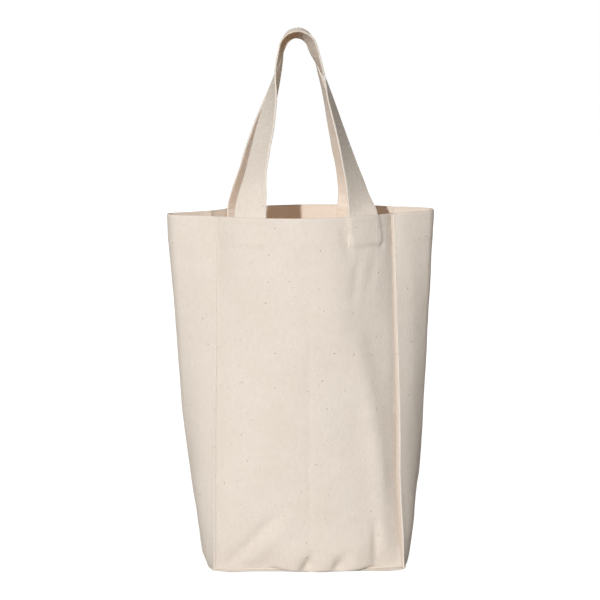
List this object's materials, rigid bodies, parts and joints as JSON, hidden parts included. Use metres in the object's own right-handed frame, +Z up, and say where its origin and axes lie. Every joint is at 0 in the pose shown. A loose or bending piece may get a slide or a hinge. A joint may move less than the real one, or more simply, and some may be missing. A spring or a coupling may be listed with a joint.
{
  "type": "bottle carrier",
  "caption": "Soft open-topped canvas carrier for bottles, boxed and flaring towards the rim, with a cloth divider inside and webbing loop handles sewn inside the rim.",
  "frame": {"origin": "middle of the underside of the base panel", "axes": "+Z up, the front panel faces -Y, +X to the right as seen from the front"},
  "size_m": [0.2476, 0.1276, 0.4975],
  "materials": {
    "canvas": "unbleached plain-weave cotton with seed specks, matt",
    "webbing": "unbleached coarse cotton webbing, matt"
  },
  "bodies": {
    "bag": {"front_panel": "canvas", "back_panel": "canvas", "left_gusset": "canvas", "right_gusset": "canvas", "base_panel": "canvas", "bottle_divider": "canvas", "front_hem": "canvas", "back_hem": "canvas", "left_hem": "canvas", "right_hem": "canvas", "front_left_corner_seam": "canvas", "front_right_corner_seam": "canvas", "back_left_corner_seam": "canvas", "back_right_corner_seam": "canvas", "front_base_seam": "canvas", "back_base_seam": "canvas", "left_base_seam": "canvas", "right_base_seam": "canvas", "front_left_strap_end": "webbing", "front_right_strap_end": "webbing", "back_left_strap_end": "webbing", "back_right_strap_end": "webbing"},
    "front_handle": {"front_handle_strap": "webbing"},
    "back_handle": {"back_handle_strap": "webbing"}
  },
  "joints": [
    {"name": "front_handle_swing", "type": "hinge", "parent": "bag", "child": "front_handle", "pos_m": [0, -0.055, 0.3305], "axis": [1, 0, 0], "range_deg": [0, 175]},
    {"name": "back_handle_swing", "type": "hinge", "parent": "bag", "child": "back_handle", "pos_m": [0, 0.055, 0.3305], "axis": [-1, 0, 0], "range_deg": [0, 175]}
  ]
}
